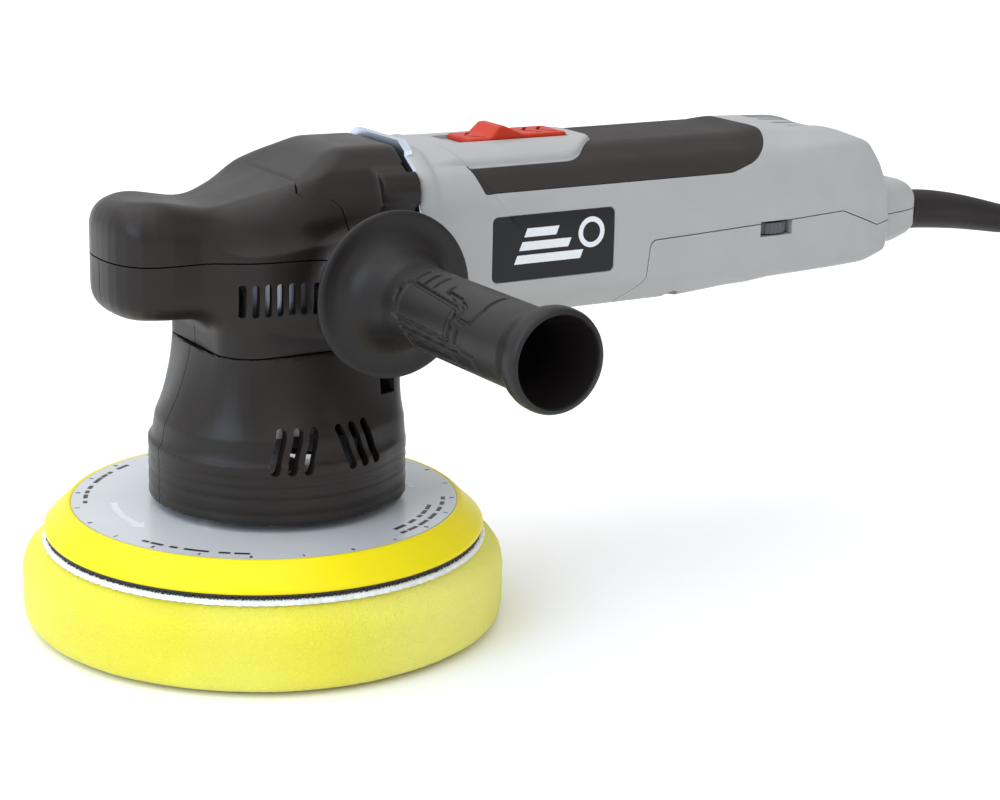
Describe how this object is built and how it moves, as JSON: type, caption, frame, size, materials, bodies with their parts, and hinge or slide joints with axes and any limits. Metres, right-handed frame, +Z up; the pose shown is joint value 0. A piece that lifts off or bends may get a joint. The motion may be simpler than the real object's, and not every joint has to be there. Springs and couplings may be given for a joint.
{
  "type": "dual action polisher",
  "caption": "Mains powered random orbit polisher with a nose grip, side handle, motor body, orbiting backing plate and foam pad.",
  "frame": {"origin": "on the spindle axis, in the working face of the foam pad", "axes": "+Z up along the spindle, +X towards the mains lead, -Y towards the side handle"},
  "size_m": [0.619, 0.237, 0.1635],
  "materials": {
    "foam": "open cell foam",
    "loop_fabric": "brushed loop fabric",
    "hook_fabric": "hook fabric",
    "plate_rubber": "semi-gloss moulded polyurethane",
    "label": "printed film",
    "steel": "turned",
    "dark_steel": "blackened",
    "aluminium": "die cast",
    "gear_bronze": "cut teeth",
    "head_plastic": "satin soft-touch moulding",
    "handle_plastic": "satin moulding",
    "grey_plastic": "satin moulding",
    "inner_plastic": "glass filled",
    "grip_rubber": "fine grain",
    "badge_film": "gloss film",
    "switch_orange": "satin",
    "copper": "enamelled wire",
    "carbon": "pressed carbon",
    "board_green": "solder mask",
    "cord_rubber": "matt rubber sheath",
    "tie_fabric": "hook and loop strap"
  },
  "bodies": {
    "housing": {"lower_spindle_bearing": "steel", "upper_spindle_bearing": "steel", "bearing_retainer": "steel", "retainer_screws": "dark_steel", "gear_case": "aluminium", "socket_inserts": "steel", "gear_head": "head_plastic", "head_cover": "head_plastic", "skirt": "head_plastic", "skirt_screws": "dark_steel", "side_handle": "handle_plastic", "handle_stud": "steel", "front_bearing": "steel", "rear_bearing": "steel", "bearing_bracket": "inner_plastic", "air_baffle": "inner_plastic", "stator_core": "dark_steel", "field_coils": "copper", "brush_holders": "gear_bronze", "carbon_brushes": "carbon", "brush_springs": "steel", "motor_housing": "grey_plastic", "rear_cover": "grey_plastic", "rubber_grip": "grip_rubber", "badge": "badge_film", "housing_screws": "dark_steel", "cover_screws": "dark_steel", "switch_module": "inner_plastic", "control_board": "board_green", "dial_pot": "inner_plastic", "lead_clamp": "inner_plastic", "clamp_screws": "dark_steel", "strain_relief": "cord_rubber", "mains_lead": "cord_rubber", "lead_coil": "cord_rubber", "coil_tie": "tie_fabric", "plug": "cord_rubber"},
    "armature": {"pinion": "gear_bronze", "armature_shaft": "steel", "armature_core": "dark_steel", "armature_windings": "copper", "commutator": "copper", "fan": "inner_plastic"},
    "spindle": {"spindle": "steel", "counterweight": "dark_steel", "crown_gear": "gear_bronze", "gear_circlip": "dark_steel", "arbor_bearings": "steel", "bearing_circlip": "dark_steel"},
    "pad": {"foam_pad": "foam", "loop_layer": "loop_fabric", "hook_layer": "hook_fabric", "backing_plate": "plate_rubber", "plate_label": "label", "plate_hub": "steel", "pad_arbor": "steel", "arbor_screw": "dark_steel"},
    "switch": {"switch_slider": "switch_orange", "switch_rod": "inner_plastic"},
    "dial": {"speed_dial": "inner_plastic"}
  },
  "joints": [
    {"name": "spindle_spin", "type": "hinge", "parent": "housing", "child": "spindle", "pos_m": [0, 0, 0.1], "axis": [0, 0, 1], "continuous": true},
    {"name": "motor_spin", "type": "hinge", "parent": "housing", "child": "armature", "pos_m": [0.1, 0, 0.13], "axis": [1, 0, 0], "continuous": true},
    {"name": "pad_spin", "type": "hinge", "parent": "spindle", "child": "pad", "pos_m": [-0.004, 0, 0.06], "axis": [0, 0, 1], "continuous": true},
    {"name": "switch_slide", "type": "slide", "parent": "housing", "child": "switch", "axis": [-1, 0, 0], "range_m": [0, 0.006]},
    {"name": "dial_turn", "type": "hinge", "parent": "housing", "child": "dial", "pos_m": [0.189, -0.0203, 0.123], "axis": [0, 0, 1], "range_deg": [-140, 140]}
  ],
  "couplings": [
    {"joint": "motor_spin", "follows": "spindle_spin", "ratio": 3}
  ]
}
